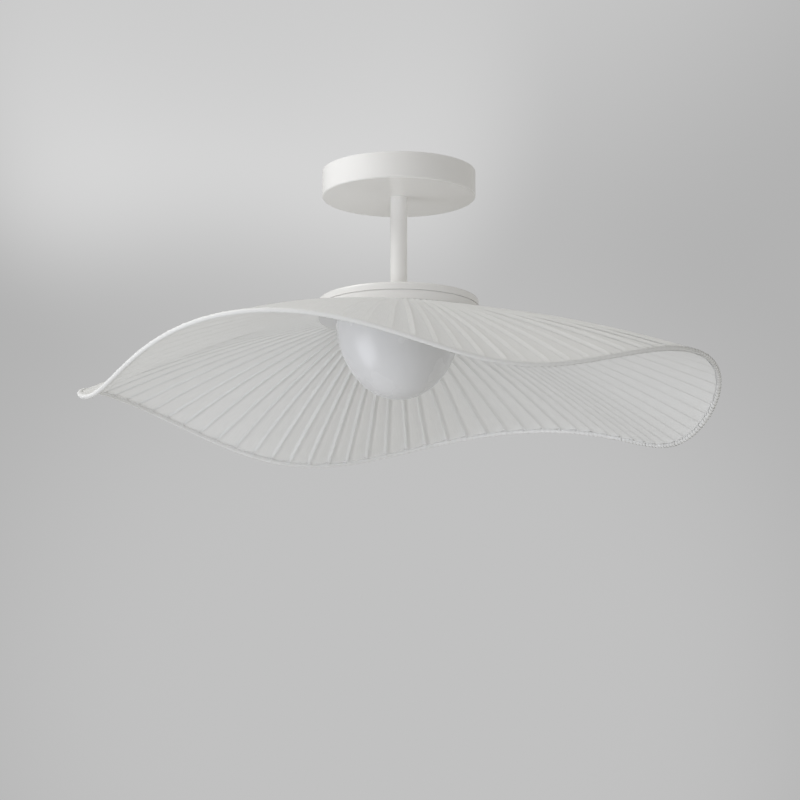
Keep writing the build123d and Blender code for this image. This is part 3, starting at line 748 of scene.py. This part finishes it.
# across one pleat from crest to crest: the rounded nose, the panel that falls away from it, and the
# fold that goes back under the next nose; each point's place as a share, and its height
nose_line = ((0.0, 0.36), (0.25, 0.48), (0.5, 0.67), (0.78, 0.90), (1.0, 1.0))
panel_line = [(x, (1 - x) ** 1.5) for x in (0.05, 0.12, 0.24, 0.38, 0.54, 0.7, 0.84, 0.94)]
fold_line = (
    (1.0, 0.03), (1.06, 0.1), (1.04, 0.17), (0.9, 0.21), (0.5, 0.25), (0.05, 0.29), (-0.05, 0.32)
)
across_pleat = [
    (zone, place, height)
    for zone, line in (("nose", nose_line), ("panel", panel_line), ("fold", fold_line))
    for place, height in line
]
cloth_columns = []
for zone, place, height in across_pleat:
    if zone == "nose":
        angle, lift = crest + place * half_nose, fold * height
    elif zone == "panel":
        start = crest + half_nose
        angle, lift = start + place * (next_crest + next_under - start), fold * height
    else:
        angle, lift = next_crest + place * next_under, next_fold * height
    reach, level = on_pleat(angle, stations)
    level = level + lift - np.where(distance > 0, 0, clamp_fold / 2)
    inner = np.stack([ring_reach * np.cos(angle[:, 0]), ring_reach * np.sin(angle[:, 0])], -1)
    inner = np.concatenate([inner, np.full((pleats, 1), cloth_level)], axis=1)
    outer = np.stack([reach * np.cos(angle), reach * np.sin(angle), level], axis=-1)
    cloth_columns.append(np.concatenate([inner[:, None], outer], axis=1))
cloth_grid = np.stack(cloth_columns, axis=1).reshape(-1, len(stations) + 1, 3).transpose(1, 0, 2)
lengthwise = np.concatenate([[ring_reach - pan_radius], distance])
middle_row = cloth_grid[len(stations) // 2]
step_across = np.linalg.norm(np.roll(middle_row, -1, axis=0) - middle_row, axis=1)
across = np.concatenate([[0], np.cumsum(step_across)])
threads = np.stack(np.meshgrid(across, lengthwise), axis=-1)
cloth_mesh = grid_mesh("pleated_cloth", cloth_grid, threads, closed=True)
cloth_mesh.set_sharp_from_angle(angle=math.radians(50))

# plain-woven polyester and cotton: matt, with a soft sheen, and thin enough to let light through,
# so the three layers of a fold show darker from below. Its threads are 0.4 mm apart and are drawn
# 1.1 mm apart, because finer ones would not show.
cloth, tree = new_material("woven_polycotton")
thread_spacing = 0.0011
place = add_node(tree, "ShaderNodeUVMap", {"uv_map": "threads"}).outputs["UV"]
warp, weft = [
    add_node(
        tree,
        "ShaderNodeTexWave",
        {"wave_type": "BANDS", "bands_direction": direction},
        {
            "Vector": place,
            "Scale": math.pi / 10 / thread_spacing,
            "Distortion": 1.2,
            "Detail": 1.0,
            "Detail Scale": 0.4,
        },
    ).outputs["Fac"]
    for direction in ("X", "Y")
]
weave = add_node(tree, "ShaderNodeMath", {"operation": "MULTIPLY"}, {0: warp, 1: weft})
stretched = add_node(
    tree, "ShaderNodeMapping", inputs={"Vector": place, "Scale": (900.0, 60.0, 1.0)}
)
slub = add_node(
    tree, "ShaderNodeTexNoise", inputs={"Vector": stretched.outputs[0], "Scale": 1.0, "Detail": 3.0}
)
uneven = add_node(tree, "ShaderNodeMath", {"operation": "MULTIPLY"}, {0: weave.outputs[0], 1: 0.35})
dyed = add_node(
    tree, "ShaderNodeMath", {"operation": "ADD"}, {0: uneven.outputs[0], 1: slub.outputs["Fac"]}
)
tone = add_node(
    tree,
    "ShaderNodeMix",
    {"data_type": "RGBA"},
    {"Factor": dyed.outputs[0], 6: colour("#E6E6E5"), 7: colour("#F0F0EF")},
)
relief = add_node(
    tree,
    "ShaderNodeBump",
    inputs={"Height": dyed.outputs[0], "Strength": 0.25, "Distance": 0.00025},
)
thread = add_node(
    tree,
    "ShaderNodeBsdfPrincipled",
    inputs={
        "Base Color": tone.outputs[2],
        "Roughness": 0.85,
        "IOR": 1.5,
        "Sheen Weight": 0.2,
        "Sheen Roughness": 0.5,
        "Normal": relief.outputs["Normal"],
    },
)
through = add_node(tree, "ShaderNodeBsdfTranslucent", inputs={"Color": tone.outputs[2]})
sheer = add_node(
    tree, "ShaderNodeMixShader", inputs={0: 0.25, 1: thread.outputs[0], 2: through.outputs[0]}
)
add_node(tree, "ShaderNodeOutputMaterial", inputs={"Surface": sheer.outputs[0]})
cloth_mesh.materials.append(cloth)
pleated_cloth = bpy.data.objects.new("pleated_cloth", cloth_mesh)
scene.collection.objects.link(pleated_cloth)
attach(pleated_cloth, "fixture")
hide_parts("shade_fabric")

# Rim binding. White cotton tape, 10 mm wide, wound slantwise over the rim wire and the cloth's
# edge. Each turn laps over the one before, which leaves the fine slanting marks along the rim.
tape_width = 0.010
turn_advance = 0.0062  # how far the tape moves on along the rim in a turn
oval_long = 0.0021  # half widths of what it is wound on, along the cloth and across it
oval_short = 0.0019
oval_shift = 0.0003  # towards the pan, because the cloth's edge is bound in
tape_thickness = 0.0004
bump_height = 0.0005  # of the tape over a pleat's end
bump_place = 0.0025  # from the pleat's crest
bump_width = 0.0018
sides = 20  # points in a turn


def rim_point(angle):
    """A point in the middle of the rim wire."""
    reach = rim_radius(angle)
    return np.stack([reach * np.cos(angle), reach * np.sin(angle), rim_height(angle)], -1)


fine = np.linspace(0, 2 * math.pi, 7201)
rim_steps = np.linalg.norm(np.diff(rim_point(fine), axis=0), axis=1)
rim_run = np.concatenate([[0], np.cumsum(rim_steps)])
turns = round(rim_run[-1] / turn_advance)
turn_advance = rim_run[-1] / turns
around = 2 * math.pi * math.sqrt((oval_long**2 + oval_short**2) / 2)
slant = math.atan2(turn_advance, around)
winding = np.linspace(0, turns, turns * sides + 1)
offset = np.array([-0.5, -0.47, -0.2, 0.15, 0.5]) * tape_width
run = winding[:, None] * turn_advance + offset[None, :] * math.cos(slant)
mean_oval = (oval_long + oval_short) / 2
twist = 2 * math.pi * winding[:, None] - offset[None, :] * math.sin(slant) / mean_oval
angle = np.interp(run % rim_run[-1], rim_run, fine)
middle = rim_point(angle)
small_turn = 0.002
forward = rim_point(angle + small_turn) - middle
forward /= np.linalg.norm(forward, axis=-1, keepdims=True)
pan_edge = np.stack(
    [pan_radius * np.cos(angle), pan_radius * np.sin(angle), np.full_like(angle, cloth_level)], -1
)
inward = pan_edge - middle
inward -= forward * (inward * forward).sum(-1, keepdims=True)
inward /= np.linalg.norm(inward, axis=-1, keepdims=True)
upward = np.cross(inward, forward)
# the trailing edge lies over the turn before, the leading edge under the next
lap = tape_thickness * np.array([1.0, 1.0, 0.75, 0.35, 0.1])[None, :]
past_crest = ((angle / pleat_turn) % 1.0) * pleat_turn * rim_radius(angle)
bump = bump_height * np.exp(-(((past_crest - bump_place) / bump_width) ** 2))
over_fold = bump * (0.65 + 0.35 * np.cos(twist))
reach = lap + over_fold
tape_points = (
    middle
    + inward * (oval_shift + (oval_long + reach) * np.cos(twist))[..., None]
    + upward * ((oval_short + reach) * np.sin(twist))[..., None]
)
tape_length = float(turns * math.hypot(turn_advance, around))
tape_threads = np.stack(np.meshgrid(offset, winding / turns * tape_length), axis=-1)
tape_mesh = grid_mesh("wound_tape", tape_points, tape_threads, closed=False)

# bleached cotton tape: plain woven and pressed smooth, a purer white than the cloth. Its threads
# are 0.35 mm apart and are drawn 0.9 mm apart, because finer ones would not show.
rib_spacing = 0.0009
tape, tree = new_material("bleached_cotton_tape")
place = add_node(tree, "ShaderNodeUVMap", {"uv_map": "threads"}).outputs["UV"]
ribs = add_node(
    tree,
    "ShaderNodeTexWave",
    {"wave_type": "BANDS", "bands_direction": "Y"},
    {"Vector": place, "Scale": math.pi / 10 / rib_spacing, "Distortion": 0.8},
)
lint = add_node(tree, "ShaderNodeTexNoise", inputs={"Vector": place, "Scale": 900.0, "Detail": 3.0})
mixed = add_node(
    tree,
    "ShaderNodeMath",
    {"operation": "MULTIPLY"},
    {0: ribs.outputs["Fac"], 1: lint.outputs["Fac"]},
)
tone = add_node(
    tree,
    "ShaderNodeMix",
    {"data_type": "RGBA"},
    {"Factor": mixed.outputs[0], 6: colour("#EAEAE9"), 7: colour("#F2F2F1")},
)
relief = add_node(
    tree,
    "ShaderNodeBump",
    inputs={"Height": mixed.outputs[0], "Strength": 0.35, "Distance": 0.0002},
)
cotton = add_node(
    tree,
    "ShaderNodeBsdfPrincipled",
    inputs={
        "Base Color": tone.outputs[2],
        "Roughness": 0.45,
        "Normal": relief.outputs["Normal"],
    },
)
add_node(tree, "ShaderNodeOutputMaterial", inputs={"Surface": cotton.outputs[0]})
tape_mesh.materials.append(tape)
wound_tape = bpy.data.objects.new("wound_tape", tape_mesh)
scene.collection.objects.link(wound_tape)
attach(wound_tape, "fixture")
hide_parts("rim_binding")
